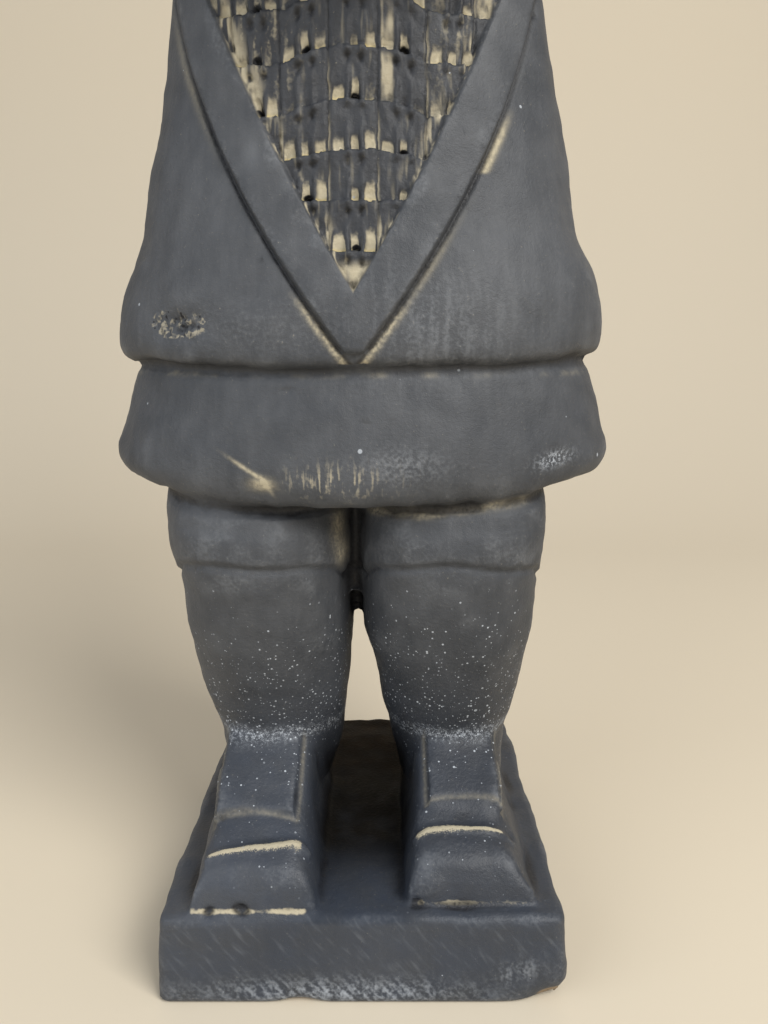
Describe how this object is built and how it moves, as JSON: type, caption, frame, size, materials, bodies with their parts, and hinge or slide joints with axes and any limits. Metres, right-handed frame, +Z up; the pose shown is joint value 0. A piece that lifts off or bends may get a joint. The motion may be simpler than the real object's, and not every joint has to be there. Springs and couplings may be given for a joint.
{
  "type": "clay warrior figurine",
  "caption": "Standing armoured officer moulded in clay with a dark slip, hands folded on the belly, on a low square base.",
  "frame": {"origin": "middle of the base's underside", "axes": "+Z up along the figure, -Y the way it faces, +X to the right of someone facing it"},
  "size_m": [0.0874, 0.0745, 0.2853],
  "materials": {
    "slipped_clay": "thin matt dark blue-grey slip over tan clay, rubbed pale on edges and in recesses"
  },
  "bodies": {
    "root": {"warrior_figure": "slipped_clay"}
  },
  "joints": []
}
